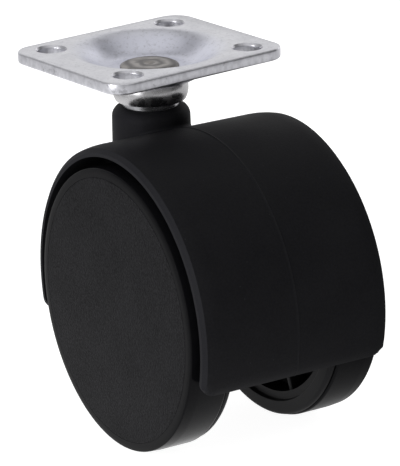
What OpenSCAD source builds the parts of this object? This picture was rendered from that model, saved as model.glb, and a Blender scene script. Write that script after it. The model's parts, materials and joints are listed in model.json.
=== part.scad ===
// Twin-wheel furniture caster with a screw-on top plate.
// Z points up and the origin is the centre of the plate's top face, on the swivel axis.
// The axle lies behind the swivel axis by the caster's trail, on the -Y side.

/* [Top plate] */
// Length of the plate along X
plate_l = 37.5; // [36:0.5:44]
// Width of the plate along Y
plate_w = 32; // [31.5:0.5:44]
// Thickness of the steel sheet
plate_t = 2; // [1.5:0.1:2.5]
// Radius of the plate's corners
plate_corner_r = 4; // [1.5:0.5:4.5]
// Spacing of the screw holes along X
hole_spacing_x = 26; // [25:0.5:28]
// Spacing of the screw holes along Y
hole_spacing_y = 22.5; // [22:0.5:28]
// Diameter of the screw holes
hole_d = 5; // [4:0.1:5.2]
// Diameter of the round dish pressed into the plate
dish_d = 28; // [26:0.5:28]
// Depth of the dish
dish_depth = 3.4; // [2.5:0.1:3.8]

/* [Kingpin] */
// Diameter of the kingpin's shank
stem_d = 8; // [7:0.1:8.5]
// Diameter of the ball-shaped collar under the plate
collar_d = 13.5; // [12.4:0.1:14]
// Diameter of the spun rivet head
rivet_d = 10.5; // [9.5:0.1:11]
// How long the shank is below the collar
stem_length = 25; // [22:0.5:25]

/* [Housing] */
// Horizontal distance from the swivel axis to the axle
trail = 18; // [17:0.5:19]
// Height of the plate's top face above the axle
plate_height = 39.5; // [39:0.5:42]
// Width of the hood over both wheels
hood_w = 36.8; // [34:0.2:37]
// Wall thickness of the hood
hood_wall = 1.8; // [1.4:0.1:2.2]
// Air gap between the treads and the hood
hood_gap = 1.7; // [1:0.1:2]
// Angle by which each end of the hood reaches below the axle
hood_reach = 16.4; // [8:0.2:18]
// Diameter of the boss that takes the kingpin
boss_d = 14; // [13.6:0.1:15]
// Angle at which the housing stands turned under the plate
rest_swivel = -6; // [-180:1:180]

/* [Wheels] */
// Diameter over the treads
wheel_d = 50; // [48:0.5:51]
// Width over the two outer faces
caster_w = 38.4; // [38:0.1:40]
// Free width between the two wheels
wheel_gap = 20; // [19.6:0.1:20.4]
// Height of the smooth shoulder round each cap
shoulder_h = 2; // [1.2:0.1:2.2]
// Thickness of the treads
tread_t = 2.4; // [2:0.1:2.6]
// Number of ribs inside each wheel
rib_count = 8; // [5:1:12]
// Diameter of the axle
axle_d = 6; // [5:0.1:6.5]

/* [Hidden] */
$fn = 96;

// Fits
running = 0.05;  // clearance that lets a piece turn on its neighbour
eps = 1;         // how far a cutting tool reaches past the face it cuts
arc_steps = 8;   // straight pieces in a rounded edge

// Plate and kingpin, heights measured down from the plate's top face
plate_edge_r = 0.4;
dish_floor_r = 6.7;
dish_steps = 14;
neck_r = 3.5;
rivet_r = rivet_d / 2;
rivet_h = 0.8;
rivet_dimple_r = 1.1;
rivet_dimple_depth = 0.3;
collar_r = collar_d / 2;
collar_side_r = 4;
collar_top_z = -dish_depth - plate_t;
collar_mid_z = collar_top_z - 1.6;
collar_low_z = collar_top_z - 3.6;
stem_r = stem_d / 2;
stem_end_z = collar_low_z - stem_length;
stem_chamfer = 0.8;
groove_depth = 0.8;

// Swivel bearing
washer_t = 1;
washer_top_z = collar_low_z - running;
boss_top_z = washer_top_z - washer_t - running;
bush_wall = 0.95;
bush_r = stem_r + running + bush_wall;
bush_low_z = stem_end_z + 5;
ring_t = 1.1;
ring_top_z = bush_low_z - 0.15;
ring_gap_angle = 50;

// Housing, measured from the axle
wheel_r = wheel_d / 2;
hood_in_r = wheel_r + hood_gap;
hood_r = hood_in_r + hood_wall;
hood_crown_w = 3.6;      // the hood falls away gently towards each side, to a small radius
hood_crown_h = 0.6;
hood_edge_r = 0.4;
hood_corner_r = 2.5;
hood_angle = 180 + 2 * hood_reach;
web_t = 3;
web_rib_t = 2;
web_rib_w = 12;
web_rib_angles = [25, 68, 112];
boss_r = boss_d / 2;
boss_edge_r = 2;
boss_floor_t = 1.6;
boss_low_z = stem_end_z - 0.6 - boss_floor_t;
axle_boss_r = 6.4;
axle_boss_u = wheel_gap / 2 - 0.8;

// Wheels: u is the distance from the caster's mid-plane along the axle
in_u = wheel_gap / 2;
out_u = caster_w / 2;
shoulder_w = 0.25;       // how far the shoulder falls back from the outer face
tread_taper = 0.15;
face_r = wheel_r - shoulder_h - 0.05;
tread_in_r = wheel_r - tread_t;
rim_in_r = tread_in_r - 2;
flange_t = 1.2;
flange_r = wheel_r - 0.3;
flange_edge_r = 0.7;
flange_step = 0.8;
axle_r = axle_d / 2;
hub_bush_r = axle_r + running + 0.85;
hub_r = 6.5;
hub_in_u = in_u + 0.1;
cap_t = 1.1;
cap_in_u = out_u - cap_t;
cap_r = face_r - 0.1;
cap_edge_r = 0.3;
cap_skirt_t = 1.2;
cap_skirt_h = 1.2;
hub_out_u = cap_in_u - 1.3;
disc_out_u = hub_out_u - 0.4;
disc_t = 1.6;
rib_t = 1.2;
rib_in_u = in_u + 1.5;
axle_end_u = cap_in_u - 0.4;
axle_chamfer = 0.4;
inner_washer_t = 0.75;
inner_washer_r = 6;
nut_t = 0.5;
nut_r = 5.6;
nut_rim_t = 0.35;

zinc = "silver";
bright_steel = "lightgrey";
plain_steel = "darkgrey";
black_nylon = [0.13, 0.13, 0.14];
cap_nylon = [0.2, 0.2, 0.21];
tread_black = [0.16, 0.16, 0.17];
acetal = "ivory";

// Points of an arc round [x, y]: radii rx and ry, from angle a0 to a1
function arc(x, y, rx, ry, a0, a1) =
    [for (i = [0:arc_steps]) let (a = a0 + (a1 - a0) * i / arc_steps)
        [x + rx * cos(a), y + ry * sin(a)]];

// Height of the dish's surface at radius r: a smooth slope from the rim to the flat floor
function dish_z(r) = let (rim = dish_d / 2)
    -dish_depth / 2 * (1 - cos(180 * (rim - r) / (rim - dish_floor_r)));

// Places the housing and wheels: the axle's centre is their own origin
module at_axle() {
    rotate([0, 0, rest_swivel])
        translate([0, -trail, -plate_height])
            children();
}

// Turns a profile of [u, r] points about the axle
module spin_about_axle(points, angle = 360) {
    rotate([0, 90, 0])
        rotate([0, 0, 180 - angle / 2])
            rotate_extrude(angle = angle, $fn = 160)
                polygon([for (p = points) [p[1], p[0]]]);
}

// Right-hand pieces are drawn, left-hand ones are their mirror image
module on_side(left) {
    at_axle() mirror([left ? 1 : 0, 0, 0]) children();
}

module rounded_rectangle(l, w, r) {
    square([l - 2 * r, w], center = true);
    square([l, w - 2 * r], center = true);
    for (x = [-1, 1], y = [-1, 1])
        translate([x * (l / 2 - r), y * (w / 2 - r)]) circle(r);
}

module screw_holes() {
    for (x = [-1, 1], y = [-1, 1])
        translate([x * hole_spacing_x / 2, y * hole_spacing_y / 2, -plate_t - eps])
            cylinder(d = hole_d, h = plate_t + 2 * eps);
}

// The dished middle of the plate keeps the sheet's thickness all the way to the rivet hole
module dish() {
    rim = dish_d / 2;
    curve = [for (i = [0:dish_steps])
        let (r = rim + (dish_floor_r - rim) * i / dish_steps) [r, dish_z(r)]];
    under = [for (i = [dish_steps:-1:0]) curve[i] - [0, plate_t]];
    rotate_extrude()
        polygon(concat(curve, [[neck_r, -dish_depth], [neck_r, -dish_depth - plate_t]], under));
}

module top_plate() color(zinc) {
    difference() {
        translate([0, 0, -plate_t])
            linear_extrude(plate_t) rounded_rectangle(plate_l, plate_w, plate_corner_r);
        translate([0, 0, -plate_t - eps]) cylinder(d = dish_d, h = plate_t + 2 * eps);
        screw_holes();
    }
    dish();
}

// Cold-headed pin: spun head in the dish, ball collar, shank, retaining groove
module kingpin() color(bright_steel) {
    head_z = -dish_depth + rivet_h;
    collar_x = collar_r - collar_side_r;
    low_angle = asin((collar_low_z - collar_mid_z) / collar_side_r);
    top_angle = asin((collar_top_z - collar_mid_z) / collar_side_r);
    groove_r = stem_r - groove_depth;
    rotate_extrude()
        polygon(concat(
            [[0, head_z - rivet_dimple_depth], [rivet_dimple_r, head_z]],
            arc(rivet_r - plate_edge_r, head_z - plate_edge_r, plate_edge_r, plate_edge_r, 90, 0),
            [[rivet_r, -dish_depth], [neck_r, -dish_depth], [neck_r, collar_top_z]],
            arc(collar_x, collar_mid_z, collar_side_r, collar_side_r, top_angle, low_angle),
            [[stem_r, collar_low_z], [stem_r, ring_top_z + running],
                [groove_r, ring_top_z + running], [groove_r, ring_top_z - ring_t - running],
                [stem_r, ring_top_z - ring_t - running],
                [stem_r, stem_end_z + stem_chamfer], [stem_r - stem_chamfer, stem_end_z],
                [0, stem_end_z]]));
}

module tube(z_low, z_high, r_in, r_out) {
    translate([0, 0, z_low])
        difference() {
            cylinder(r = r_out, h = z_high - z_low);
            translate([0, 0, -eps]) cylinder(r = r_in, h = z_high - z_low + 2 * eps);
        }
}

// Hardened ring that the collar turns on
module swivel_washer() color(bright_steel)
    tube(washer_top_z - washer_t, washer_top_z, stem_r + 2 * running, bush_r + running);

// Steel sleeve pressed into the boss
module stem_bush() color(plain_steel)
    tube(bush_low_z, boss_top_z, stem_r + running, bush_r);

// Split spring ring: it sits in the kingpin's groove and catches under the bush
module stem_ring() color(plain_steel)
    rotate([0, 0, ring_gap_angle / 2])
        rotate_extrude(angle = 360 - ring_gap_angle)
            translate([stem_r - groove_depth + running, ring_top_z - ring_t])
                square([bush_r - stem_r + groove_depth - 6 * running, ring_t]);

// Cuts one corner of the hood round: the tool stands on the hood's end, along a radius.
// Its arc meets the hood's end and side at a slight angle, so that no sliver is left.
module hood_corner_tool() {
    inset = 0.98 * hood_corner_r;
    difference() {
        translate([hood_w / 2 - inset, -eps, wheel_r])
            cube([inset + eps, inset + eps, hood_wall + hood_gap + eps]);
        translate([hood_w / 2 - inset, inset, wheel_r - eps])
            cylinder(r = hood_corner_r, h = hood_wall + hood_gap + 3 * eps);
    }
}

module hood() {
    half = hood_w / 2;
    crown = [for (i = [0:4]) let (u = hood_crown_w * (1 - i / 5))
        [half - u, hood_r - hood_crown_h * pow(1 - u / hood_crown_w, 2)]];
    edge = concat(crown, arc(half - hood_edge_r, hood_r - hood_crown_h - hood_edge_r,
        hood_edge_r, hood_edge_r, 80, 0));
    last = len(edge) - 1;
    difference() {
        spin_about_axle(concat([[-half, hood_in_r]],
            [for (i = [last:-1:0]) [-edge[i][0], edge[i][1]]], edge,
            [[half, hood_in_r]]), hood_angle);
        for (end = [0, 1], side = [0, 1])
            mirror([0, end, 0]) mirror([side, 0, 0])
                rotate([90 + hood_reach, 0, 0])
                    hood_corner_tool();
    }
}

// Wall between the wheels, with its ribs
module web() {
    spin_about_axle([[-web_t / 2, 0], [-web_t / 2, hood_in_r + hood_wall / 2],
        [web_t / 2, hood_in_r + hood_wall / 2], [web_t / 2, 0]], hood_angle);
    for (a = web_rib_angles)
        rotate([a - 90, 0, 0])
            translate([-web_rib_w / 2, -web_rib_t / 2, axle_boss_r - eps])
                cube([web_rib_w, web_rib_t, hood_in_r + hood_wall / 2 - axle_boss_r + eps]);
}

module stem_boss() {
    low = boss_low_z;
    rotate_extrude()
        polygon(concat([[0, low], [0, boss_top_z]],
            arc(boss_r - boss_edge_r, boss_top_z - boss_edge_r, boss_edge_r, boss_edge_r, 90, 0),
            [[boss_r, low + 1], [boss_r - 1, low]]));
}

// One nylon moulding: hood, web, axle boss and kingpin boss
module housing() color(black_nylon) {
    difference() {
        union() {
            at_axle() {
                hood();
                web();
                rotate([0, 90, 0])
                    cylinder(r = axle_boss_r, h = 2 * axle_boss_u, center = true);
            }
            stem_boss();
        }
        translate([0, 0, boss_low_z + boss_floor_t])
            cylinder(r = bush_r, h = boss_top_z - boss_low_z);
        at_axle() rotate([0, 90, 0])
            cylinder(r = axle_r, h = wheel_gap, center = true);
    }
}

module axle() color(plain_steel)
    at_axle()
        spin_about_axle([[-axle_end_u, 0], [-axle_end_u, axle_r - axle_chamfer],
            [axle_chamfer - axle_end_u, axle_r], [axle_end_u - axle_chamfer, axle_r],
            [axle_end_u, axle_r - axle_chamfer], [axle_end_u, 0]]);

// Rim, disc and hub of a wheel, open towards the housing, with ribs from hub to rim
module wheel_core(left) color(black_nylon) on_side(left) {
    bead = arc(in_u + flange_edge_r, flange_r - flange_edge_r, flange_edge_r, flange_edge_r, 180, 90);
    step_r = rim_in_r + 1.4;
    spin_about_axle(concat(
        [[hub_in_u, hub_bush_r], [hub_in_u, hub_r], [disc_out_u - disc_t, hub_r],
            [disc_out_u - disc_t, rim_in_r], [in_u + flange_step, rim_in_r],
            [in_u + flange_step, step_r], [in_u, step_r + 0.3]],
        bead,
        [[in_u + flange_t, flange_r], [in_u + flange_t, tread_in_r], [cap_in_u, tread_in_r],
            [cap_in_u, rim_in_r], [disc_out_u, rim_in_r], [disc_out_u, hub_r],
            [hub_out_u, hub_r], [hub_out_u, hub_bush_r]]));
    for (i = [0:rib_count - 1])
        rotate([360 / rib_count * (i + 0.5), 0, 0])
            translate([rib_in_u, -rib_t / 2, hub_r - 0.2])
                cube([disc_out_u - disc_t / 2 - rib_in_u, rib_t, rim_in_r - hub_r + 0.4]);
}

module left_wheel_core() wheel_core(true);
module right_wheel_core() wheel_core(false);

// Tyre: nearly flat across, with a low shoulder running into the outer face
module tread(left) color(tread_black) on_side(left) {
    low_u = in_u + flange_t;
    spin_about_axle(concat(
        [[low_u, tread_in_r], [low_u, wheel_r - 0.35], [low_u + 0.3, wheel_r - 0.1],
            [low_u + 1.5, wheel_r], [out_u - 2.2, wheel_r]],
        arc(out_u - shoulder_w, face_r, shoulder_w, wheel_r - tread_taper - face_r, 90, 0),
        [[cap_in_u, face_r], [cap_in_u, tread_in_r]]));
}

module left_tread() tread(true);
module right_tread() tread(false);

// Outer disc, snapped into the rim by its skirt
module wheel_cap(left) color(cap_nylon) on_side(left) {
    spin_about_axle(concat(
        [[cap_in_u, 0], [cap_in_u, rim_in_r - cap_skirt_t],
            [cap_in_u - cap_skirt_h, rim_in_r - cap_skirt_t], [cap_in_u - cap_skirt_h, rim_in_r],
            [cap_in_u, rim_in_r], [cap_in_u, cap_r]],
        arc(out_u - cap_edge_r, cap_r - cap_edge_r, cap_edge_r, cap_edge_r, 90, 0),
        [[out_u, 0]]));
}

module left_wheel_cap() wheel_cap(true);
module right_wheel_cap() wheel_cap(false);

module axle_tube(u_low, u_high, r_in, r_out) {
    spin_about_axle([[u_low, r_in], [u_low, r_out], [u_high, r_out], [u_high, r_in]]);
}

// Plain bearing pressed into the hub
module hub_bush(left) color(acetal) on_side(left)
    axle_tube(hub_in_u, hub_out_u, axle_r + running, hub_bush_r);

module left_hub_bush() hub_bush(true);
module right_hub_bush() hub_bush(false);

// Spacer between the axle boss and the hub
module inner_washer(left) color(plain_steel) on_side(left)
    axle_tube(axle_boss_u + running, axle_boss_u + running + inner_washer_t,
        axle_r + running, inner_washer_r);

module left_inner_washer() inner_washer(true);
module right_inner_washer() inner_washer(false);

// Spring steel nut pushed onto the axle's end: a flat ring with a raised outer rim
module push_nut(left) color(plain_steel) on_side(left) {
    low = hub_out_u + running;
    spin_about_axle([[low, axle_r], [low, nut_r - nut_rim_t], [low, nut_r],
        [low + nut_t + nut_rim_t, nut_r], [low + nut_t + nut_rim_t, nut_r - nut_rim_t],
        [low + nut_t, nut_r - 2 * nut_rim_t], [low + nut_t, axle_r]]);
}

module left_push_nut() push_nut(true);
module right_push_nut() push_nut(false);

top_plate();
kingpin();
swivel_washer();
stem_bush();
stem_ring();
housing();
axle();
left_wheel_core();
right_wheel_core();
left_tread();
right_tread();
left_wheel_cap();
right_wheel_cap();
left_hub_bush();
right_hub_bush();
left_inner_washer();
right_inner_washer();
left_push_nut();
right_push_nut();
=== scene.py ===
# %% [markdown]
# # A hooded twin-wheel caster
#
# This notebook dresses the CAD model of a small furniture caster: a zinc-plated top plate, a
# bright kingpin riveted into it, a black nylon hood, and two black wheels on one axle. The CAD
# model is a fixed frame. The main sizes are read from it. Those typed below repeat its design or
# are details too fine for it, such as an edge radius. Typed lengths are millimetres, and `MM`
# turns them into Blender's metres.

# %% The fixed frame
import json
import math

import bmesh
import bpy
from mathutils import Matrix, Vector


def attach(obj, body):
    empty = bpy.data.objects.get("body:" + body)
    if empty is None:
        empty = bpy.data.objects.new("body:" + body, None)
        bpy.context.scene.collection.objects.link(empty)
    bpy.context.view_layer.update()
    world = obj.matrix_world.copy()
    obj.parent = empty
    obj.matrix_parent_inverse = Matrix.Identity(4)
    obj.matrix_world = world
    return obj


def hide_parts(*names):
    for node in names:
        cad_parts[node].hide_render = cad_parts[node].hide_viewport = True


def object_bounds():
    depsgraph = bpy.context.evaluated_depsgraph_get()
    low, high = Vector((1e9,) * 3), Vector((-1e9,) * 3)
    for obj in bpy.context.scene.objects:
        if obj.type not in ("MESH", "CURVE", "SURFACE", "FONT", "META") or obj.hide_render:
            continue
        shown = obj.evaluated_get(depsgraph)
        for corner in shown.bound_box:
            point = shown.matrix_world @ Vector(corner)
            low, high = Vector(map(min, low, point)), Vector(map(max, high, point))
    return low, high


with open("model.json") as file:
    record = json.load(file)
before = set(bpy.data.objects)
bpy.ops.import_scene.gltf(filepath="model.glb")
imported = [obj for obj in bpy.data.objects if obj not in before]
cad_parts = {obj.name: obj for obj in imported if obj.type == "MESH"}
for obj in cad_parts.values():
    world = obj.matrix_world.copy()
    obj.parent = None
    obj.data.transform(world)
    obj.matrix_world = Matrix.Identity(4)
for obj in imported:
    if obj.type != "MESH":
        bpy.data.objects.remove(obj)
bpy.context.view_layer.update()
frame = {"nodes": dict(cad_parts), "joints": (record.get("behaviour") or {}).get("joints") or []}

MM = 0.001

# %% [markdown]
# ## Where the axle is
#
# The housing stands a few degrees round from the plate, so its own pieces are easiest to draw
# about the axle and to turn into place at the end. The wheel's joint gives the axle's middle and
# direction, and a node can be measured in the axle's frame as well as in the model's.

# %% The axle's frame
spin_joint = next(j for j in frame["joints"] if j["name"] == "left_wheel_spin")
axle_turn = math.atan2(spin_joint["axis"][1], spin_joint["axis"][0])
AXLE = Matrix.Translation(spin_joint["pos_m"]) @ Matrix.Rotation(axle_turn, 4, "Z")


def node_limits(node, place=Matrix.Identity(4)):
    """Lowest and highest corner of a CAD node in millimetres, in the frame that place describes."""
    to_place = place.inverted()
    points = [to_place @ v.co / MM for v in frame["nodes"][node].data.vertices]
    return [Vector(pick(p[i] for p in points) for i in range(3)) for pick in (min, max)]


tread_high = node_limits("right_tread", AXLE)[1]
hood_low, hood_high = node_limits("housing", AXLE)
boss_high = node_limits("stem_bush")[1]
pin_low = node_limits("kingpin")[0]
plate_low, plate_high = node_limits("top_plate")
print(f"wheel radius {tread_high.z:.2f} mm, half width {tread_high.x:.2f} mm, "
      f"turned {math.degrees(axle_turn):.1f} deg")

# %% [markdown]
# ## Outlines that become solids
#
# Most pieces of a caster are turned or moulded round an axis, so the tools are few: an outline
# with rounded corners, and a spin. A radius on each corner costs one number and gives the soft
# highlight that a moulded or stamped edge has, where a sharp corner would look cut from paper.

# %% Outline and spin
ARC_STEPS = 6
ROUND_STEPS = 144


def outline(*corners):
    """Points of an outline in mm. A corner is (x, y) or, rounded, (x, y, radius)."""
    points = []
    for i, (x, y, *radius) in enumerate(corners):
        here = Vector((x, y))
        if not radius:
            points.append(here)
            continue
        before = (Vector(corners[i - 1][:2]) - here).normalized()
        after = (Vector(corners[(i + 1) % len(corners)][:2]) - here).normalized()
        half = before.angle(after) / 2
        centre = here + (before + after).normalized() * radius[0] / math.sin(half)
        arms = [here + arm * radius[0] / math.tan(half) - centre for arm in (before, after)]
        for step in range(ARC_STEPS + 1):
            arm = arms[0].lerp(arms[1], step / ARC_STEPS)
            points.append(centre + arm.normalized() * radius[0])
    return points


def close_shell(bm):
    """Welds doubled vertices, drops slivers and turns every face outwards."""
    bmesh.ops.remove_doubles(bm, verts=bm.verts, dist=0.002 * MM)
    bmesh.ops.dissolve_degenerate(bm, dist=0.001 * MM, edges=bm.edges)
    bmesh.ops.recalc_face_normals(bm, faces=bm.faces)
    return bm


def turned(points, axis="X", sweep=360.0, steps=ROUND_STEPS):
    """Spins an outline of (along, out) points in mm. A part turn is centred on the top.

    An outline whose two ends lie on the axis makes a solid, any other makes a ring.
    """
    bm = bmesh.new()
    side = Vector((0, 0, 1)) if axis == "X" else Vector((1, 0, 0))
    along = Vector((1, 0, 0)) if axis == "X" else Vector((0, 0, 1))
    verts = [bm.verts.new((along * a + side * r) * MM) for a, r in points]
    open_ends = points[0][1] == 0 and points[-1][1] == 0
    wire = [bm.edges.new((verts[i - 1], verts[i])) for i in range(open_ends, len(verts))]
    full = sweep == 360.0
    if not full:
        start = Matrix.Rotation(math.radians(-sweep / 2), 4, along)
        bmesh.ops.transform(bm, matrix=start, verts=verts)
    bmesh.ops.spin(bm, geom=verts + wire, cent=(0, 0, 0), axis=along, angle=math.radians(sweep),
                   steps=steps, use_merge=full)
    if not full:
        bmesh.ops.holes_fill(bm, edges=[e for e in bm.edges if e.is_boundary], sides=0)
    return close_shell(bm)


def made(name, bm, place=Matrix.Identity(4)):
    """An object from a bmesh, with its place in its mesh."""
    bmesh.ops.transform(bm, matrix=place, verts=bm.verts)
    mesh = bpy.data.meshes.new(name)
    bm.to_mesh(mesh)
    bm.free()
    obj = bpy.data.objects.new(name, mesh)
    bpy.context.scene.collection.objects.link(obj)
    return obj


print("a rounded corner has", ARC_STEPS + 1, "points, a full spin", ROUND_STEPS, "steps")

# %% [markdown]
# ## Joining and cutting
#
# A moulding is one body, so its walls, bosses and ribs are united rather than left passing
# through each other. Blender's exact Boolean does that, and the modifier's result is kept as the
# mesh. The tools overlap each other a little and never share a face, which keeps it reliable.

# %% Boolean helpers


def combined(base, tools, operation="UNION"):
    """base with each tool united, cut away or intersected. The tools are used up."""
    for tool in tools:
        modifier = base.modifiers.new(operation.lower(), "BOOLEAN")
        modifier.operation = operation
        modifier.solver = "EXACT"
        modifier.object = tool
    graph = bpy.context.evaluated_depsgraph_get()
    mesh = bpy.data.meshes.new_from_object(base.evaluated_get(graph))
    base.modifiers.clear()
    base.data = mesh
    for tool in tools:
        bpy.data.objects.remove(tool)
    return base


def ribs(name, low, high, angles, edge_r, place):
    """Soft-edged boxes between two corners in mm, one for each angle round the axle."""
    bm = bmesh.new()
    size, middle = Vector(high) - Vector(low), (Vector(high) + Vector(low)) / 2
    for angle in angles:
        turn = Matrix.Rotation(math.radians(angle), 4, "X")
        box = bmesh.ops.create_cube(bm, size=1)["verts"]
        bmesh.ops.scale(bm, vec=size * MM, verts=box)
        bmesh.ops.transform(bm, matrix=turn @ Matrix.Translation(middle * MM), verts=box)
    bmesh.ops.bevel(bm, geom=bm.edges[:], offset=edge_r * MM, affect="EDGES", segments=2,
                    profile=0.5, material=-1)
    return made(name, bm, place)


def finish_piece(obj, body, material, stands_for=(), sharp=35):
    """Welds and shades a finished piece, gives it its material and lets it ride on its body."""
    bm = bmesh.new()
    bm.from_mesh(obj.data)
    close_shell(bm)
    bm.to_mesh(obj.data)
    bm.free()
    obj.data.shade_smooth()
    obj.data.set_sharp_from_angle(angle=math.radians(sharp))
    obj.data.materials.clear()
    obj.data.materials.append(material)
    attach(obj, body)
    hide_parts(*stands_for)
    print(f"{obj.name}: {len(obj.data.polygons)} faces, in for {', '.join(stands_for)}")
    return obj


print("helpers ready: combined, ribs, finish_piece")

# %% [markdown]
# ## Materials: the tools
#
# A material is a small graph. One function adds a node with its settings and links, one turns a
# real grain size into a texture scale, and one turns a given colour into linear light.

# %% Material helpers


def linear(hex_colour):
    """An sRGB hex colour as linear RGBA."""
    parts = [int(hex_colour[i:i + 2], 16) / 255 for i in (1, 3, 5)]
    return [c / 12.92 if c <= 0.04045 else ((c + 0.055) / 1.055) ** 2.4 for c in parts] + [1.0]


def per_mm(size):
    """Texture scale, in features per metre, for features of this size in mm."""
    return 1 / (size * MM)


def add(material, kind, inputs=None, **settings):
    """Adds a node. inputs maps a socket to a value or to another node's output; settings are properties."""
    node = material.node_tree.nodes.new(kind)
    for name, value in settings.items():
        setattr(node, name, value)
    for socket, value in (inputs or {}).items():
        if isinstance(value, bpy.types.NodeSocket):
            material.node_tree.links.new(value, node.inputs[socket])
        else:
            node.inputs[socket].default_value = value
    return node


def surface(name, **sockets):
    """A new material and its shader, with the sockets that are the same all over already set."""
    material = bpy.data.materials.new(name)
    material.use_nodes = True
    shader = material.node_tree.nodes["Principled BSDF"]
    for socket, value in sockets.items():
        shader.inputs[socket.replace("_", " ")].default_value = value
    return material, shader


def spread(material, source, low, high, out_low, out_high):
    """Maps a grey texture from low..high to out_low..out_high, held at both ends."""
    return add(material, "ShaderNodeMapRange", {"Value": source, "From Min": low, "From Max": high,
               "To Min": out_low, "To Max": out_high}).outputs["Result"]


def object_point(material):
    """The surface point in the piece's own metres: patterns stay put when the piece moves."""
    return add(material, "ShaderNodeTexCoord").outputs["Object"]


print("sRGB #808080 is", round(linear("#808080")[0], 3), "in linear light")

# %% [markdown]
# ## Black nylon, four finishes
#
# All the plastic here is glass-black polyamide, and the finishes differ because the moulds do.
# The hood's mould is finely blasted, which gives a soft satin. The wheel caps come from a
# spark-eroded mould, whose coarser grain scatters light and looks a shade lighter. The treads
# are polished smooth. A picture of grain could be wrapped round each piece, but noise in Object
# coordinates needs no unwrapping and has no seam. A shared function sets grain size, grain
# depth, gloss and colour. A real mould's grain is 0.05 to 0.15 mm, too fine to show, so it is
# drawn about three times coarser.

# %% Nylon


def moulded_nylon(name, tone, dust, grain, depth, mottle, gloss, shine, painted_side_shading=None,
                  side_gloss=None):
    """Injection-moulded black polyamide.

    grain and depth are the mould texture's size and height in mm, mottle how much the grain shows
    in the colour, gloss the roughness and shine the specular level. Faces that look along the axle,
    which another part of the mould made, may have their own gloss. They may also have their own
    tone, which is painted light or painted shade: a lighter or darker colour for how the light falls on
    them.
    """
    material, shader = surface(name, IOR=1.53, Specular_IOR_Level=shine)
    point = object_point(material)
    fine = add(material, "ShaderNodeTexNoise", {"Vector": point, "Scale": per_mm(grain),
               "Detail": 3.0, "Roughness": 0.6}).outputs["Fac"]
    cloud = add(material, "ShaderNodeTexNoise", {"Vector": point, "Scale": per_mm(9),
                "Detail": 2.0}).outputs["Fac"]
    speck = add(material, "ShaderNodeTexVoronoi", {"Vector": point, "Scale": per_mm(2.6)},
                feature="F1").outputs["Distance"]
    normal = add(material, "ShaderNodeTexCoord").outputs["Normal"]
    along = add(material, "ShaderNodeVectorMath", {0: normal, 1: AXLE.col[0].xyz},
                operation="DOT_PRODUCT").outputs["Value"]
    size = add(material, "ShaderNodeMath", {0: along}, operation="ABSOLUTE").outputs["Value"]
    side = spread(material, size, 0.35, 0.75, 0.0, 1.0)
    # painted light and shade: faces that look along the axle take their own tone for how the light falls on
    # them
    base = add(material, "ShaderNodeMix", {"Factor": side, "A": linear(tone),
               "B": linear(painted_side_shading or tone)}, data_type="RGBA").outputs["Result"]
    grainy = add(material, "ShaderNodeMix", {"Factor": spread(material, fine, 0.35, 0.65, -mottle, mottle),
                 "A": base, "B": linear(dust)}, data_type="RGBA", clamp_factor=False).outputs["Result"]
    clouded = add(material, "ShaderNodeMix", {"Factor": spread(material, cloud, 0.3, 0.7, 0.0, 0.06),
                  "A": grainy, "B": linear(dust)}, data_type="RGBA").outputs["Result"]
    colour = add(material, "ShaderNodeMix", {"Factor": spread(material, speck, 0.025, 0.045, 0.5, 0.0),
                 "A": clouded, "B": linear(dust)}, data_type="RGBA").outputs["Result"]
    satin = spread(material, cloud, 0.3, 0.7, gloss - 0.04, gloss + 0.04)
    rough = add(material, "ShaderNodeMix", {"Factor": side, "A": satin, "B": side_gloss or gloss},
                data_type="FLOAT").outputs["Result"]
    bump = add(material, "ShaderNodeBump", {"Height": fine, "Distance": depth * MM, "Strength": 1.0})
    link = material.node_tree.links.new
    link(colour, shader.inputs["Base Color"])
    link(rough, shader.inputs["Roughness"])
    link(bump.outputs["Normal"], shader.inputs["Normal"])
    return material


# blasted mould: an even satin with no glints, so the hood reads as one quiet dark curve; its rim faces get
# a lighter painted tone, a painted highlight
hood_nylon = moulded_nylon("black_nylon_moulded_blasted", "#18181a", "#3a3a3c", grain=0.35,
                           depth=0.03, mottle=0.04, gloss=0.55, shine=0.035, painted_side_shading="#1f1f22")
# spark-eroded mould: a leathery grain that scatters the key light and looks a shade greyer
cap_nylon = moulded_nylon("black_nylon_spark_textured", "#101012", "#3c3c3f", grain=0.36,
                          depth=0.09, mottle=0.13, gloss=0.55, shine=0.05)
# polished mould: the tyre mirrors the floor in a long bright fade; its shoulder is rougher, and darker by a
# painted shade
tread_nylon = moulded_nylon("black_nylon_polished_tread", "#0d0d0f", "#28282a", grain=0.5,
                            depth=0.004, mottle=0.02, gloss=0.2, shine=0.04, painted_side_shading="#0a0a0c",
                            side_gloss=0.4)
# plain milled mould: a faint sheen that shows the flange and ribs in the shade
core_nylon = moulded_nylon("black_nylon_moulded_core", "#101012", "#303032", grain=0.35,
                           depth=0.008, mottle=0.03, gloss=0.45, shine=0.08)
print("nylon finishes:", hood_nylon.name, cap_nylon.name, tread_nylon.name, core_nylon.name)

# %% [markdown]
# ## The top plate
#
# A stamped steel plate: a blank with rounded corners, a round dish pressed down for the rivet,
# and four punched screw holes. The dish could be pushed down from a fine grid, but a grid has no
# ring of edges to keep its rim round. It is spun as a sheet of one thickness and welded into a
# round opening in the blank, ring to ring, so that the bend at its rim shades as one sheet.

# %% Plate blank
DISH_R, DISH_DEPTH, DISH_FLOOR_R, NECK_R = 14.0, 3.4, 6.7, 3.5
PLATE_CORNER_R, PLATE_EDGE_R = 4.0, 0.35
HOLE_X, HOLE_Y, HOLE_R = 13.0, 11.25, 2.5        # half the spacings, and the hole's radius
SHEET_T = 2.0

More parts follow.
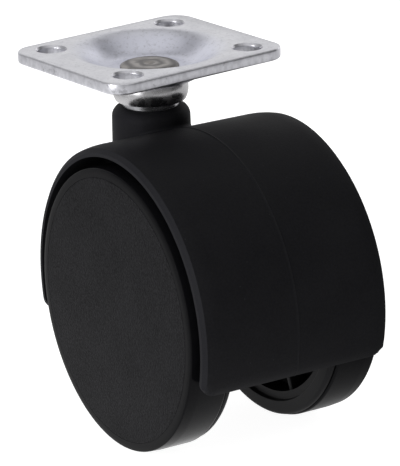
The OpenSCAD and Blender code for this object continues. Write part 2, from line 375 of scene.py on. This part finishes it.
bm = bmesh.new()
bmesh.ops.create_cube(bm, size=1)
bmesh.ops.scale(bm, vec=Vector((plate_high.x - plate_low.x, plate_high.y - plate_low.y, SHEET_T)) * MM,
                verts=bm.verts)
bmesh.ops.translate(bm, vec=(0, 0, -SHEET_T / 2 * MM), verts=bm.verts)
uprights = [e for e in bm.edges if abs(e.verts[0].co.z - e.verts[1].co.z) > MM]
bmesh.ops.bevel(bm, geom=uprights, offset=PLATE_CORNER_R * MM, affect="EDGES", segments=10,
                profile=0.5, material=-1)
rims = [e for e in bm.edges if abs(e.verts[0].co.z - e.verts[1].co.z) < 0.1 * MM]
bmesh.ops.bevel(bm, geom=rims, offset=PLATE_EDGE_R * MM, affect="EDGES", segments=3,
                profile=0.5, material=-1)
plate = made("stamped_top_plate", bm)
print("blank", [round(d / MM, 2) for d in plate.dimensions])

# %% Openings in the blank
cutters = [made("dish_cutter", turned([(1, 0), (1, DISH_R), (-3, DISH_R), (-3, 0)], axis="Z"))]
for x in (-HOLE_X, HOLE_X):
    for y in (-HOLE_Y, HOLE_Y):
        # the punch rolls the top lip in and breaks out wider below
        punch = turned(outline((1, 0), (1, HOLE_R + 1.3), (0.0, HOLE_R + 0.3), (-0.45, HOLE_R, 0.3),
                               (-1.75, HOLE_R, 0.2), (-3, HOLE_R + 0.8), (-3, 0)), axis="Z", steps=48)
        cutters.append(made("punch", punch, Matrix.Translation((x * MM, y * MM, 0))))
combined(plate, cutters, "DIFFERENCE")
print("openings cut, faces:", len(plate.data.polygons))

# %% Dish welded into the blank


def dish_z(r):
    """Height of the dish in mm: crisp where it leaves the flat, then an even slope to its floor."""
    part = (DISH_R - r) / (DISH_R - DISH_FLOOR_R)
    return -DISH_DEPTH * (1 - math.cos(math.pi * part)) / 2


slope = [DISH_R + (DISH_FLOOR_R - DISH_R) * i / 20 for i in range(21)]
top_skin = [(dish_z(r), r) for r in slope] + [(-DISH_DEPTH, NECK_R)]
under_skin = [(z - SHEET_T, r) for z, r in reversed(top_skin)]
bm = turned(top_skin + under_skin, axis="Z")
bm.from_mesh(plate.data)
bmesh.ops.remove_doubles(bm, verts=bm.verts, dist=0.004 * MM)
walls = [f for f in bm.faces if all(abs(v.co.xy.length - DISH_R * MM) < 0.01 * MM for v in f.verts)]
bmesh.ops.delete(bm, geom=walls, context="FACES")
bm.to_mesh(plate.data)
print("joined walls removed:", len(walls), "| open edges:", sum(e.is_boundary for e in bm.edges))
bm.free()

# %% [markdown]
# ## The kingpin
#
# A cold-headed steel pin: its upper end is spun over into a low head in the dish, with a centre
# mark from the spinning tool, and a ball-shaped collar bears on the housing. Cylinders could be
# stacked for it, but they leave hidden faces and hard joints, so one outline is spun about the
# swivel axis. The collar's side is an arc, because that curve gathers the bright reflection.

# %% Kingpin outline


def arc(along, out, radius, start, end, steps=14):
    """Points of an arc round (along, out), by angles from the outward direction."""
    turns = [math.radians(start + (end - start) * i / steps) for i in range(steps + 1)]
    return [(along + radius * math.sin(t), out + radius * math.cos(t)) for t in turns]


HEAD_Z, COLLAR_TOP, COLLAR_MID, COLLAR_LOW = -2.6, -5.4, -7.0, -9.0
COLLAR_R, COLLAR_ARC, SHANK_R, GROOVE_R = 6.75, 4.0, 4.0, 3.2
GROOVE_TOP, GROOVE_LOW, PIN_END = -29.1, -30.3, pin_low.z
head = outline((HEAD_Z - 0.3, 0), (HEAD_Z - 0.28, 0.5, 0.3), (HEAD_Z, 1.15, 0.3),
               (HEAD_Z - 0.04, 4.4, 1.0), (HEAD_Z - 0.45, 5.25, 0.3), (-DISH_DEPTH + 0.01, 5.2))
low_angle = math.degrees(math.asin((COLLAR_LOW - COLLAR_MID) / COLLAR_ARC))
top_angle = math.degrees(math.asin((COLLAR_TOP - COLLAR_MID) / COLLAR_ARC))
collar = arc(COLLAR_MID, COLLAR_R - COLLAR_ARC, COLLAR_ARC, top_angle, low_angle)
shank = outline((COLLAR_LOW, SHANK_R), (GROOVE_TOP, SHANK_R), (GROOVE_TOP, GROOVE_R),
                (GROOVE_LOW, GROOVE_R), (GROOVE_LOW, SHANK_R), (PIN_END, SHANK_R, 0.8), (PIN_END, 0))
neck = [(-DISH_DEPTH + 0.01, NECK_R - 0.02), (COLLAR_TOP, NECK_R - 0.02)]
kingpin = made("spun_kingpin", turned(head + neck + collar + shank, axis="Z"))
print("kingpin height", round(kingpin.dimensions.z / MM, 2), "mm")

# %% [markdown]
# ## The hood
#
# The hood is a curved wall over both wheels. It could be spun, but its corners are rounded in
# the flat, so it is made as sheet metal would be: a flat blank with round corners, given its
# thickness and its soft side edges, cut into rows, and bent round the axle. The mould's two
# halves met on its middle line and left a fine raised line there.

# %% Hood blank
HOOD_R, HOOD_HALF = -hood_low.y, hood_high.x
HOOD_WALL, HOOD_CORNER_R = 1.8, 2.5
CROWN_W, CROWN_H, EDGE_R = 3.6, 0.55, 0.6
PARTING_W, PARTING_H = 0.22, 0.1
ROW_SPACING = 1.6
reach = math.asin(-hood_low.z / HOOD_R)
HOOD_LONG = HOOD_R * (math.pi / 2 + reach)

bm = bmesh.new()
bmesh.ops.create_grid(bm, x_segments=1, y_segments=1, size=MM)
bmesh.ops.scale(bm, vec=(HOOD_HALF, HOOD_LONG, 1), verts=bm.verts)
bmesh.ops.bevel(bm, geom=bm.verts[:], offset=HOOD_CORNER_R * MM, affect="VERTICES", segments=10,
                profile=0.5, material=-1)
for step in (0.03, 0.07, 0.10, 0.15, 0.25):
    bmesh.ops.inset_region(bm, faces=[max(bm.faces, key=lambda f: f.calc_area())],
                           thickness=step * MM, use_even_offset=True)


def cut_rows(bm, axis, places):
    """Cuts the blank by planes across one axis, at each place in mm."""
    for place in places:
        where, across = [0, 0, 0], [0, 0, 0]
        where[axis], across[axis] = place * MM, 1
        bmesh.ops.bisect_plane(bm, geom=bm.verts[:] + bm.edges[:] + bm.faces[:], dist=1e-7,
                               plane_co=where, plane_no=across)


edge_rows = [HOOD_HALF - CROWN_W * (1 - i / 6) for i in range(6)]
cut_rows(bm, 0, [-x for x in edge_rows] + edge_rows)
cut_rows(bm, 0, [PARTING_W * i for i in (-4, -2, -1, 0, 1, 2, 4)])
row_count = int(HOOD_LONG / ROW_SPACING)
cut_rows(bm, 1, [HOOD_LONG * i / row_count for i in range(1 - row_count, row_count)])
print("hood blank:", len(bm.faces), "faces")

# %% Thickness, soft edges and the bend
top = list(bm.verts)
raised = bmesh.ops.extrude_face_region(bm, geom=bm.faces[:], use_keep_orig=True)["geom"]
inner = [g for g in raised if isinstance(g, bmesh.types.BMVert)]
bmesh.ops.translate(bm, vec=(0, 0, -HOOD_WALL * MM), verts=inner)


def rim_distance(x, y):
    """How far a point of the blank, in mm, is inside its outline."""
    past = Vector((abs(x) - HOOD_HALF + HOOD_CORNER_R, abs(y) - HOOD_LONG + HOOD_CORNER_R))
    outside = Vector((max(past.x, 0), max(past.y, 0))).length
    return HOOD_CORNER_R - outside - min(max(past), 0)


def rounding(radius, distance):
    """How far an edge of this radius has fallen at this distance from the rim."""
    part = min(max(1 - distance / radius, 0), 1)
    return radius * (1 - math.sqrt(1 - part ** 2))


for v in top:
    x, y = v.co.x / MM, v.co.y / MM
    crown = CROWN_H * max(0, 1 - (HOOD_HALF - abs(x)) / CROWN_W) ** 2
    fall = crown + rounding(EDGE_R, rim_distance(x, y))
    v.co.z -= (fall - PARTING_H * (abs(x) < PARTING_W / 2)) * MM
for v in bm.verts:
    angle, radius = v.co.y / (HOOD_R * MM), HOOD_R * MM + v.co.z
    v.co.yz = -radius * math.sin(angle), radius * math.cos(angle)
close_shell(bm)
print("open edges:", sum(not e.is_manifold for e in bm.edges))
housing = made("hood_and_housing", bm, AXLE)

# %% [markdown]
# ## Web, bosses and ribs
#
# Inside the hood stands a web with a boss for the axle, and at its back a deep boss takes the
# kingpin. The boss meets the hood in a small fillet, as mouldings do. A cylinder united with the
# hood would leave a hard crease there, and a bevel on a Boolean's edge is easily torn. So the
# boss is spun with its foot marked as heights above the hood, and the foot is laid down on it.

# %% Housing pieces
BOSS_R, BOSS_EDGE_R, FILLET = 7.0, 2.0, 0.7
BOSS_TOP, BOSS_LOW, BORE_FLOOR = boss_high.z, -36.2, -34.6
BORE_R = 5.02
DRAPED = -100                                    # heights near this are heights above the hood
WEB_HALF, WEB_IN_R, WEB_OUT_R = 1.5, 3.5, 27.4
HUB_HALF, HUB_R, AXLE_HOLE_R = 9.2, 6.4, 3.0
web = made("web", turned([(-WEB_HALF, WEB_IN_R), (-WEB_HALF, WEB_OUT_R), (WEB_HALF, WEB_OUT_R),
                          (WEB_HALF, WEB_IN_R)], sweep=math.degrees(math.pi + 2 * reach) - 1), AXLE)
axle_boss = made("axle_boss", turned(outline((-HUB_HALF, AXLE_HOLE_R), (-HUB_HALF, HUB_R, 0.4),
                                             (HUB_HALF, HUB_R, 0.4), (HUB_HALF, AXLE_HOLE_R))), AXLE)
web_ribs = ribs("web_ribs", (-6, -1, 5.4), (6, 1, 27.8), (-65, -22, 22), 0.3, AXLE)
foot = arc(DRAPED + FILLET, BOSS_R + FILLET, FILLET, 180, 270, steps=6)
top_edge = [p.to_tuple() for p in outline((BOSS_TOP, 0), (BOSS_TOP, BOSS_R - 0.1, BOSS_EDGE_R),
                                          (BOSS_TOP - 6, BOSS_R))]
bm = turned(top_edge + foot + [(DRAPED - 1.2, BOSS_R + FILLET), (DRAPED - 1.2, 0)], axis="Z")
for v in bm.verts:
    if v.co.z < DRAPED * MM / 2:
        over = AXLE.inverted() @ Vector((v.co.x, v.co.y, 0))
        v.co.z += AXLE.translation.z + math.sqrt((HOOD_R * MM) ** 2 - over.y ** 2) - DRAPED * MM
upper_boss = made("upper_boss", bm)
lower_boss = made("lower_boss", turned(outline((-20, 0), (-20, BOSS_R - 0.02),
                                               (BOSS_LOW, BOSS_R - 0.02, 1.0), (BOSS_LOW, 0)), axis="Z"))
bore = made("bore", turned([(5, 0), (5, BORE_R), (BORE_FLOOR, BORE_R), (BORE_FLOOR, 0)], axis="Z"))
combined(housing, [web, axle_boss, web_ribs, lower_boss, upper_boss])
combined(housing, [bore], "DIFFERENCE")
finish_piece(housing, "swivel_housing", hood_nylon, ["housing"])

# %% [markdown]
# ## The wheels
#
# Each wheel is three mouldings on one axis. The core is a rim, disc and hub with stiffening
# ribs, open towards the housing. The tread is a smooth hard tyre whose outer shoulder is almost
# flat. The cap is a grained disc that snaps into the rim and stands a hair proud of the tread.
# A cylinder with inset and extruded rings would do for a plain wheel, but here every shoulder
# has its own radius, so all three are spun outlines. They are drawn for the right wheel and
# mirrored for the left.

# %% Wheel outlines
FACE_R = 23.25                                   # radius of the grained disc
BUSH_R, CORE_HUB_R = 3.92, 6.5                   # the hub's bore and outside
RIM_IN, RIM_OUT, RIM_FACE = 20.62, 22.58, 18.1   # the cap snaps in here and bears on the face
core_outline = outline((10.1, BUSH_R), (10.1, CORE_HUB_R, 0.3), (14.8, CORE_HUB_R, 0.4),
                       (14.8, 20.6, 0.6), (10.8, 20.6), (10.8, 22.0, 0.2), (10.0, 22.2, 0.15),
                       (10.0, 24.7, 0.65), (11.15, 24.7, 0.3), (11.2, RIM_OUT),
                       (RIM_FACE, RIM_OUT), (RIM_FACE, RIM_IN), (16.4, RIM_IN, 0.4),
                       (16.4, CORE_HUB_R, 0.3), (16.8, CORE_HUB_R), (16.8, BUSH_R))
tread_outline = outline((11.26, 22.6), (11.26, 25.0, 0.45), (17.0, 25.0, 6), (19.02, 24.84, 0.3),
                        (19.14, 24.1, 4), (19.17, FACE_R + 0.03), (19.11, FACE_R),
                        (RIM_FACE, FACE_R), (RIM_FACE, 22.6))
cap_outline = outline((RIM_FACE, 0), (RIM_FACE, 19.4), (16.9, 19.4, 0.2), (16.9, 20.58, 0.3),
                      (RIM_FACE, 20.58), (RIM_FACE, FACE_R), (19.13, FACE_R),
                      (19.2, FACE_R - 0.12, 0.05), (19.2, 0))
RIB_ANGLES = [22.5 + 45 * i for i in range(8)]

for side, flip in (("left", -1), ("right", 1)):
    place = AXLE @ Matrix.Scale(flip, 4, (1, 0, 0))
    body = side + "_wheel"
    core = made(side + "_wheel_rim_and_hub", turned(core_outline), place)
    combined(core, [ribs("core_ribs", (11.5, -0.6, 6.2), (15.5, 0.6, 21.0), RIB_ANGLES, 0.2, place)])
    finish_piece(core, body, core_nylon, [side + "_wheel_core"])
    tread = made(side + "_smooth_tread", turned(tread_outline, steps=216), place)
    finish_piece(tread, body, tread_nylon, [side + "_tread"])
    cap = made(side + "_snap_in_cap", turned(cap_outline, steps=216), place)
    finish_piece(cap, body, cap_nylon, [side + "_wheel_cap"])

# %% [markdown]
# ## Zinc-plated sheet
#
# The plate is blanked and pressed from steel sheet, then barrel-plated with zinc. Plating keeps
# the sheet's faint drawing lines and adds a cloudy, slightly blue bloom, so the flat looks pale
# and soft instead of mirror-like. The punch shears the edge, which is streakier, and tumbling in
# the barrel leaves dull scuffs on it. The dish was stretched, so its plating is bluer. A plain
# grey metal would look like chrome, so the graph layers these marks by where they happen. The
# drawing lines are really under 0.1 mm wide, and are drawn at 0.5 mm so that they show.

# %% Zinc-plated sheet


def plated_sheet():
    """Stamped steel with bright zinc plating: cloudy, finely scratched, and rough where it was sheared."""
    material, shader = surface("zinc_plated_stamped_steel", Metallic=1.0)
    link = material.node_tree.links.new
    point = object_point(material)
    cloud = add(material, "ShaderNodeTexNoise", {"Vector": point, "Scale": per_mm(5), "Detail": 4.0,
                "Roughness": 0.65, "Distortion": 0.6}).outputs["Fac"]
    spangle = add(material, "ShaderNodeTexNoise", {"Vector": point, "Scale": per_mm(0.7), "Detail": 3.0,
                  "Roughness": 0.7}).outputs["Fac"]
    drawn = add(material, "ShaderNodeMapping", {"Vector": point,
                "Scale": (0.12, 1.0, 0.12)}).outputs["Vector"]
    scratches = add(material, "ShaderNodeTexNoise", {"Vector": drawn, "Scale": per_mm(0.5), "Detail": 5.0,
                    "Roughness": 0.75}).outputs["Fac"]
    normal = add(material, "ShaderNodeTexCoord").outputs["Normal"]
    upright = add(material, "ShaderNodeSeparateXYZ", {"Vector": normal}).outputs["Z"]
    level = add(material, "ShaderNodeMath", {0: upright}, operation="ABSOLUTE").outputs["Value"]
    edge = spread(material, level, 0.35, 0.75, 1.0, 0.0)
    flat = add(material, "ShaderNodeMapping", {"Vector": point, "Scale": (1.0, 1.0, 0.0)}).outputs["Vector"]
    radius = add(material, "ShaderNodeVectorMath", {0: flat}, operation="LENGTH").outputs["Value"]
    in_dish = spread(material, radius, 11 * MM, 14.2 * MM, 1.0, 0.0)
    tint = add(material, "ShaderNodeMix", {"Factor": cloud, "A": linear("#b4b4ba"), "B": linear("#e0e0e4")},
               data_type="RGBA").outputs["Result"]
    bluish = add(material, "ShaderNodeMix", {"Factor": in_dish, "A": tint, "B": linear("#cccdd8")},
                 data_type="RGBA").outputs["Result"]
    specks = spread(material, spangle, 0.52, 0.7, 0.0, 0.5)
    marked = add(material, "ShaderNodeMix", {"Factor": specks, "A": bluish, "B": linear("#9f9fa5")},
                 data_type="RGBA").outputs["Result"]
    punched = add(material, "ShaderNodeMapping", {"Vector": point,
                  "Scale": (1.0, 1.0, 0.6)}).outputs["Vector"]
    shear = add(material, "ShaderNodeTexNoise", {"Vector": punched, "Scale": per_mm(0.9),
                "Detail": 5.0}).outputs["Fac"]
    knocks = add(material, "ShaderNodeTexNoise", {"Vector": point, "Scale": per_mm(3.2), "Detail": 6.0,
                 "Roughness": 0.7}).outputs["Fac"]
    scuff = spread(material, knocks, 0.58, 0.66, 0.0, 0.55)
    sheared = add(material, "ShaderNodeMix", {"Factor": spread(material, shear, 0.35, 0.65, 0.0, 1.0),
                  "A": linear("#c6c6cc"), "B": linear("#dcdce2")}, data_type="RGBA").outputs["Result"]
    scuffed = add(material, "ShaderNodeMix", {"Factor": scuff, "A": sheared, "B": linear("#77777b")},
                  data_type="RGBA").outputs["Result"]
    colour = add(material, "ShaderNodeMix", {"Factor": edge, "A": marked, "B": scuffed}, data_type="RGBA")
    satin = spread(material, scratches, 0.3, 0.7, 0.3, 0.42)
    rough = add(material, "ShaderNodeMix", {"Factor": edge, "A": satin, "B": 0.36}, data_type="FLOAT")
    height = add(material, "ShaderNodeMix", {"Factor": edge, "A": spangle, "B": shear}, data_type="FLOAT")
    bump = add(material, "ShaderNodeBump", {"Height": height.outputs["Result"], "Distance": 0.03 * MM,
               "Strength": 0.6})
    link(colour.outputs["Result"], shader.inputs["Base Color"])
    link(rough.outputs["Result"], shader.inputs["Roughness"])
    link(bump.outputs["Normal"], shader.inputs["Normal"])
    return material


print("helper ready: plated_sheet")

# %% [markdown]
# ## Nickel-plated pin
#
# The pin is cold-headed and plated bright. The rolled collar mirrors the room and the black boss
# under it, so it shows one hard highlight over a dark band. The spinning tool that closed the
# head broke the plating there: it is greyer, matt, and marked with uneven rings. Two materials
# could share the mesh, but height alone tells head from collar, so one graph blends the two.

# %% Nickel-plated pin


WAVE_PERIOD = 0.314              # metres from ring to ring in a wave texture whose scale is 1


def headed_pin():
    """Nickel-plated steel: bright on the rolled collar, grey and ringed where the head was spun over."""
    material, shader = surface("nickel_plated_headed_steel", Metallic=1.0)
    link = material.node_tree.links.new
    point = object_point(material)
    height_up = add(material, "ShaderNodeSeparateXYZ", {"Vector": point}).outputs["Z"]
    head = spread(material, height_up, -4.6 * MM, -4.2 * MM, 0.0, 1.0)
    smear = add(material, "ShaderNodeTexNoise", {"Vector": point, "Scale": per_mm(1.4),
                "Detail": 4.0}).outputs["Fac"]
    rings = add(material, "ShaderNodeTexWave", {"Vector": point, "Scale": WAVE_PERIOD * per_mm(2.1),
                "Distortion": 5.0, "Detail": 3.0, "Detail Scale": 1.2}, wave_type="RINGS",
                rings_direction="Z").outputs["Fac"]
    mixed = add(material, "ShaderNodeMath", {0: rings, 1: smear}, operation="MULTIPLY").outputs["Value"]
    worn = add(material, "ShaderNodeMix", {"Factor": spread(material, mixed, 0.0, 0.55, 0.0, 1.0),
               "A": linear("#625f5e"), "B": linear("#9d9996")}, data_type="RGBA").outputs["Result"]
    bright = add(material, "ShaderNodeMix", {"Factor": smear, "A": linear("#9c9b9d"),
                 "B": linear("#c6c5c7")}, data_type="RGBA").outputs["Result"]
    colour = add(material, "ShaderNodeMix", {"Factor": head, "A": bright, "B": worn}, data_type="RGBA")
    polish = spread(material, smear, 0.35, 0.65, 0.2, 0.32)
    rough = add(material, "ShaderNodeMix", {"Factor": head, "A": polish, "B": 0.45}, data_type="FLOAT")
    height = add(material, "ShaderNodeMath", {0: rings, 1: head}, operation="MULTIPLY").outputs["Value"]
    bump = add(material, "ShaderNodeBump", {"Height": height, "Distance": 0.04 * MM, "Strength": 0.8})
    link(colour.outputs["Result"], shader.inputs["Base Color"])
    link(rough.outputs["Result"], shader.inputs["Roughness"])
    link(bump.outputs["Normal"], shader.inputs["Normal"])
    return material


print("helper ready: headed_pin")

# %% [markdown]
# ## Small turned, ground and moulded pieces
#
# Most of these hide inside and show only in a gap or a cutaway. Turning leaves fine rings, which
# break a highlight into threads; grinding leaves finer ones and looks brighter. The clips are
# blackened spring steel, dark and oily. The hub bushes are ivory acetal, waxy and pale. The CAD
# mesh of each is kept as it is, because at this size it has nothing left to add but its finish.
# Real cutting marks are 0.05 to 0.1 mm apart, so these are drawn about three times coarser.

# %% Turned, ground and moulded pieces


def machined(name, dull, clean, groove, gloss, **sockets):
    """A turned or ground piece: fine rings of cutting marks, groove mm apart, and slight staining."""
    material, shader = surface(name, **sockets)
    link = material.node_tree.links.new
    point = object_point(material)
    stain = add(material, "ShaderNodeTexNoise", {"Vector": point, "Scale": per_mm(2.2),
                "Detail": 3.0}).outputs["Fac"]
    drawn = add(material, "ShaderNodeMapping", {"Vector": point,
                "Scale": (1.0, 0.1, 1.0)}).outputs["Vector"]
    marks = add(material, "ShaderNodeTexNoise", {"Vector": drawn, "Scale": per_mm(groove),
                "Detail": 2.0}).outputs["Fac"]
    colour = add(material, "ShaderNodeMix", {"Factor": stain, "A": linear(dull), "B": linear(clean)},
                 data_type="RGBA")
    bump = add(material, "ShaderNodeBump", {"Height": marks, "Distance": 0.01 * MM, "Strength": 0.5})
    link(colour.outputs["Result"], shader.inputs["Base Color"])
    link(spread(material, marks, 0.3, 0.7, gloss - 0.06, gloss + 0.06), shader.inputs["Roughness"])
    link(bump.outputs["Normal"], shader.inputs["Normal"])
    return material


print("helper ready: machined")

# %% Finish the metal pieces and the bushes
# zinc looks pale and cloudy, never quite a mirror; nickel has hard highlights and dark bands
zinc, nickel = plated_sheet(), headed_pin()
# ground steel reads as a thin bright line under the collar
ground = machined("ground_steel_washer", "#8f8f92", "#c0c0c4", 0.15, 0.22, Metallic=1.0)
# turned steel is greyer, with its highlight drawn out round the axis
steel = machined("turned_plain_steel", "#77767a", "#a9a9ad", 0.2, 0.32, Metallic=1.0)
# blackened springs nearly vanish beside the nylon but keep a metal's warm edge
spring = machined("blackened_spring_steel", "#2c2b2b", "#4a4846", 0.3, 0.4, Metallic=1.0)
# acetal is the one pale plastic, so the bearing is told from the black core at a glance
acetal = machined("ivory_moulded_acetal", "#d6d0bf", "#e6e1d2", 0.4, 0.34, IOR=1.48)
finish_piece(plate, "plate", zinc, ["top_plate"])
finish_piece(kingpin, "plate", nickel, ["kingpin"])
for material, nodes in ((ground, ["swivel_washer"]),
                        (steel, ["stem_bush", "axle", "left_inner_washer", "right_inner_washer"]),
                        (spring, ["stem_ring", "left_push_nut", "right_push_nut"]),
                        (acetal, ["left_hub_bush", "right_hub_bush"])):
    for node in nodes:
        mesh = frame["nodes"][node].data
        mesh.materials.clear()
        mesh.materials.append(material)
print("finished with", len(bpy.data.materials), "materials")

# %% [markdown]
# ## The floor
#
# A plain matt white floor. It glows a little so that it stays white from edge to edge. What the
# caster mirrors from it glows apart from that, as painted light and painted shade: brighter on
# the open left, and darker to the right as a painted shadow where a real floor would lie in the
# caster's own shade. Glossy treads show that difference most.

# %% Floor
FLOOR_RADIUS = 2.5                               # metres
floor_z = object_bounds()[0].z
bm = bmesh.new()
bmesh.ops.create_circle(bm, cap_ends=True, segments=96, radius=FLOOR_RADIUS)
floor = made("floor", bm, Matrix.Translation((0, 0, floor_z - 0.02 * MM)))
floor_paint, shader = surface("floor_matt_white_paint", Roughness=0.7, Base_Color=linear("#a8a8a8"),
                              Emission_Color=linear("#ffffff"))
seen = add(floor_paint, "ShaderNodeLightPath").outputs["Is Camera Ray"]
point = object_point(floor_paint)
out = add(floor_paint, "ShaderNodeVectorMath", {0: point}, operation="LENGTH").outputs["Value"]
along = add(floor_paint, "ShaderNodeVectorMath", {0: point, 1: AXLE.col[0].xyz},
            operation="DOT_PRODUCT").outputs["Value"]
# painted light and shade: near the caster the mirrored glow is bright on its left and a dark painted shadow
# on its right
near = spread(floor_paint, along, 0.0, 0.03, 0.9, 0.1)
far = spread(floor_paint, along, -0.15, 0.15, 0.36, 0.52)
mirrored = add(floor_paint, "ShaderNodeMix", {"Factor": spread(floor_paint, out, 0.09, 0.19, 0.0, 1.0),
               "A": near, "B": far}, data_type="FLOAT").outputs["Result"]
glow = add(floor_paint, "ShaderNodeMix", {"Factor": seen, "A": mirrored, "B": 0.95},
           data_type="FLOAT").outputs["Result"]
floor_paint.node_tree.links.new(glow, shader.inputs["Emission Strength"])
floor.data.materials.append(floor_paint)
print("floor at", round(floor_z / MM, 2), "mm")

# %% [markdown]
# ## The camera
#
# A long lens, well back and a little above, turned to show one wheel's face and the front of the
# hood. The long lens keeps the plate's far edge nearly parallel to its near one. Its place is
# given in the axle's frame, because that is the frame the round shapes were drawn in.

# %% Camera
AZIMUTH, ELEVATION, ROLL = math.radians(-31.26), math.radians(18.56), math.radians(-1.61)
DISTANCE, LENS = 576.7, 254.9
aim = Vector((1.215, 4.565, 8.77))          # in the axle's frame
back = Vector((math.sin(AZIMUTH) * math.cos(ELEVATION), -math.cos(AZIMUTH) * math.cos(ELEVATION),
               math.sin(ELEVATION)))
right = Vector((math.cos(AZIMUTH), math.sin(AZIMUTH), 0))
look = Matrix((right, back.cross(right), back)).transposed().to_4x4() @ Matrix.Rotation(ROLL, 4, "Z")
camera = bpy.data.objects.new("camera", bpy.data.cameras.new("camera"))
camera.data.sensor_width, camera.data.lens = 36, LENS
camera.matrix_world = AXLE @ Matrix.Translation((aim + back * DISTANCE) * MM) @ look
bpy.context.scene.collection.objects.link(camera)
bpy.context.scene.camera = camera
print("camera", round(DISTANCE), "mm away, lens", LENS, "mm")

# %% [markdown]
# ## Light and backdrop
#
# Four large soft boxes and a grey room. A picture of a studio could light the scene too, but
# boxes can be moved one at a time until each edge reads. The key stands low on the left, square
# to the wheel's face, and brings out its grain. The overhead and back boxes are what the zinc mirrors, so
# they set how pale the plate looks. A weak fill keeps the far wheel from going black. The room is
# dark to the right and paler to the left, which gives each black edge something to show against.

# %% Lights


def softbox(name, towards, distance, size, brightness):
    """An area light aimed at the caster. towards is (degrees round from straight ahead, up).

    brightness is that of its face: 1 looks white, as the floor does.
    """
    round_by, up_by = (math.radians(a) for a in towards)
    out = Vector((math.sin(round_by) * math.cos(up_by), -math.cos(round_by) * math.cos(up_by),
                  math.sin(up_by)))
    light = bpy.data.lights.new(name, "AREA")
    light.shape, light.size, light.size_y = "RECTANGLE", *size
    light.energy = brightness * math.pi * size[0] * size[1]
    obj = bpy.data.objects.new(name, light)
    centre = Vector((0, -15, -32)) * MM              # the middle of the caster
    facing = out.to_track_quat("Z", "Y").to_matrix().to_4x4()
    obj.matrix_world = Matrix.Translation(centre + out * distance) @ facing
    obj.visible_camera = False
    bpy.context.scene.collection.objects.link(obj)
    return obj


softbox("overhead_softbox", (0, 84), 1.1, (1.6, 1.6), 0.52)
softbox("key_softbox", (-85, 15), 0.9, (0.5, 0.5), 6.0)
softbox("back_softbox", (143, 24), 1.2, (2.2, 0.9), 0.9)
softbox("fill_softbox", (96, 12), 1.2, (0.8, 0.8), 0.8)
print("lights:", len(bpy.data.lights))

# %% Backdrop
world = bpy.data.worlds.new("studio")
bpy.context.scene.world = world
world.use_nodes = True
OPEN_SIDE = Vector((-0.85, -0.1, 0.5)).normalized()
towards = add(world, "ShaderNodeVectorMath", {0: add(world, "ShaderNodeTexCoord").outputs["Generated"],
              1: OPEN_SIDE}, operation="DOT_PRODUCT").outputs["Value"]
backdrop = world.node_tree.nodes["Background"]
backdrop.inputs["Color"].default_value = linear("#ffffff")
world.node_tree.links.new(spread(world, towards, -0.6, 0.6, 0.03, 0.42), backdrop.inputs["Strength"])
bpy.context.scene.view_settings.view_transform = "Standard"
print("backdrop: dark on the right, paler on the left")
